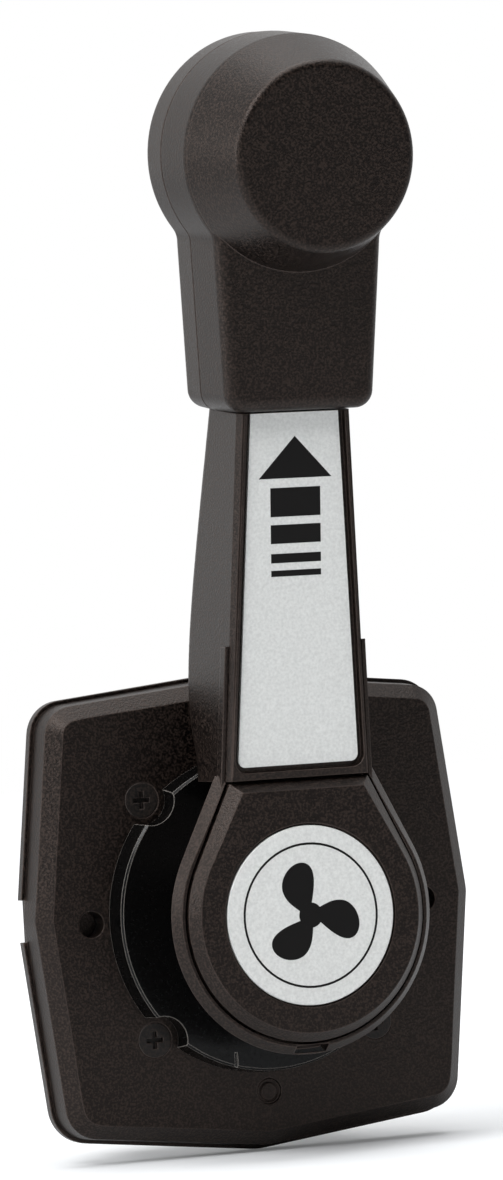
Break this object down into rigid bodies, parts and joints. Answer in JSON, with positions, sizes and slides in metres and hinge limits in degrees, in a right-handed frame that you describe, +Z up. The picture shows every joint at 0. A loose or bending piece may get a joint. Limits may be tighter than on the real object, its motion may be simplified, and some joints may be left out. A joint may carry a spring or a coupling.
{
  "type": "boat throttle control lever",
  "caption": "Side-mount boat throttle control: leaning hand lever with round knob on a six-sided escutcheon, geared cable drive behind the panel.",
  "frame": {"origin": "centre of the mounting hole circle, on the lever's pivot axis, in the panel face", "axes": "-Y points out of the panel to the user, +Z up along the lever, +X to the right seen from the front"},
  "size_m": [0.119, 0.1303, 0.2776],
  "materials": {
    "moulded_black": "fine grained warm black moulding",
    "moulded_gloss": "smooth black moulding",
    "housing_plastic": "glass-filled black moulding",
    "bush_plastic": "natural bearing plastic",
    "silver_foil": "satin silver foil",
    "stainless": "turned stainless",
    "zinc_steel": "bright zinc plated",
    "blackened_steel": "blackened",
    "brass_fitting": "turned brass"
  },
  "bodies": {
    "base": {"back_plate": "moulded_black", "cover_plate": "moulded_black", "collar": "moulded_gloss", "frame_screws": "blackened_steel", "shaft_bush": "bush_plastic", "gear_housing": "housing_plastic", "rear_cover": "housing_plastic", "rear_cover_screws": "zinc_steel", "friction_pad": "bush_plastic", "cable_bracket": "zinc_steel", "bracket_screws": "zinc_steel", "anchor_stud": "stainless"},
    "lever": {"drive_shaft": "stainless", "drive_pinion": "zinc_steel", "gear_key": "stainless", "retaining_ring": "stainless", "hub_shell": "moulded_black", "hub_cap": "moulded_black", "badge_disc": "silver_foil", "hub_washer": "zinc_steel", "hub_screw": "zinc_steel", "lever_arm": "moulded_black", "arm_screws": "zinc_steel", "decal_plate": "silver_foil", "knob_front": "moulded_black", "knob_rear": "moulded_black", "knob_screws": "zinc_steel"},
    "throttle_drive": {"throttle_sector": "zinc_steel", "lay_shaft": "stainless", "throttle_arm": "stainless", "arm_nut": "stainless", "arm_pin": "stainless", "pin_clip": "stainless"},
    "cable_end": {"cable_eye": "stainless"},
    "cable_anchor": {"anchor_barrel": "brass_fitting"},
    "brake_adjuster": {"friction_screw": "stainless"}
  },
  "joints": [
    {"name": "lever_pivot", "type": "hinge", "parent": "base", "child": "lever", "pos_m": [0, 0, 0], "axis": [0, 1, 0], "range_deg": [-75, 75]},
    {"name": "sector_pivot", "type": "hinge", "parent": "base", "child": "throttle_drive", "pos_m": [0, 0.01, 0.024], "axis": [0, 1, 0], "range_deg": [-45.01, 45.01]},
    {"name": "eye_swivel", "type": "hinge", "parent": "throttle_drive", "child": "cable_end", "pos_m": [0.03, 0.04, 0.024], "axis": [0, 1, 0], "range_deg": [-45.01, 45.01]},
    {"name": "anchor_swivel", "type": "hinge", "parent": "base", "child": "cable_anchor", "pos_m": [0.03, 0.035, -0.046], "axis": [0, 1, 0], "range_deg": [-12, 12]},
    {"name": "brake_adjust", "type": "hinge", "parent": "base", "child": "brake_adjuster", "pos_m": [-0.0275, 0.017, 0], "axis": [1, 0, 0], "range_deg": [-180, 180]}
  ],
  "couplings": [
    {"joint": "sector_pivot", "follows": "lever_pivot", "ratio": -0.6},
    {"joint": "eye_swivel", "follows": "lever_pivot", "ratio": 0.6}
  ]
}
